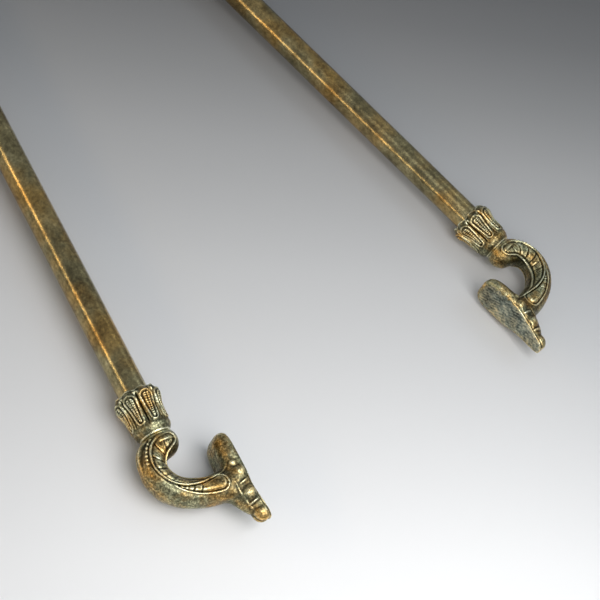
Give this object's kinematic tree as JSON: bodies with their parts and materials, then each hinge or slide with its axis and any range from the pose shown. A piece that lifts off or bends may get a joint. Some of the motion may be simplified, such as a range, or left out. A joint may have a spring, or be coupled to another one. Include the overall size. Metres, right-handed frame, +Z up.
{
  "type": "fire tongs",
  "caption": "Brass fire tongs: a cast grip on a riveted fork, and two rods in tulip collars that end in C-scroll jaws with flat gripping pads.",
  "frame": {"origin": "on the rivet's axis, at the flat of the lower rivet head, on the surface that the tongs lie on", "axes": "+X along the centre line from the grip towards the jaws, +Y towards the left arm, +Z up out of the surface"},
  "size_m": [0.6337, 0.1896, 0.0164],
  "materials": {
    "rod_brass": "smooth, aged and tarnished",
    "cast_brass": "cast and chased, dark in the recesses",
    "steel": "dull, darkened"
  },
  "bodies": {
    "handle": {"hinge_yoke": "cast_brass", "hinge_rivet": "steel", "upper_rosette": "cast_brass", "lower_rosette": "cast_brass", "leaf_washer": "steel", "yoke_stud": "steel", "yoke_collar": "cast_brass", "handle_shaft": "rod_brass", "grip_collar": "cast_brass", "grip": "cast_brass", "finial_ring": "cast_brass", "finial": "cast_brass", "tie_rod": "steel"},
    "left_arm": {"left_hinge_leaf": "cast_brass", "left_upper_stud": "steel", "left_upper_collar": "cast_brass", "left_rod": "rod_brass", "left_lower_collar": "cast_brass", "left_lower_stud": "steel", "left_jaw": "cast_brass"},
    "right_arm": {"right_hinge_leaf": "cast_brass", "right_upper_stud": "steel", "right_upper_collar": "cast_brass", "right_rod": "rod_brass", "right_lower_collar": "cast_brass", "right_lower_stud": "steel", "right_jaw": "cast_brass"}
  },
  "joints": [
    {"name": "left_arm_hinge", "type": "hinge", "parent": "handle", "child": "left_arm", "pos_m": [0, 0, 0.0082], "axis": [0, 0, 1], "range_deg": [-9, 22]},
    {"name": "right_arm_hinge", "type": "hinge", "parent": "handle", "child": "right_arm", "pos_m": [0, 0, 0.0082], "axis": [0, 0, -1], "range_deg": [-9, 22]}
  ]
}
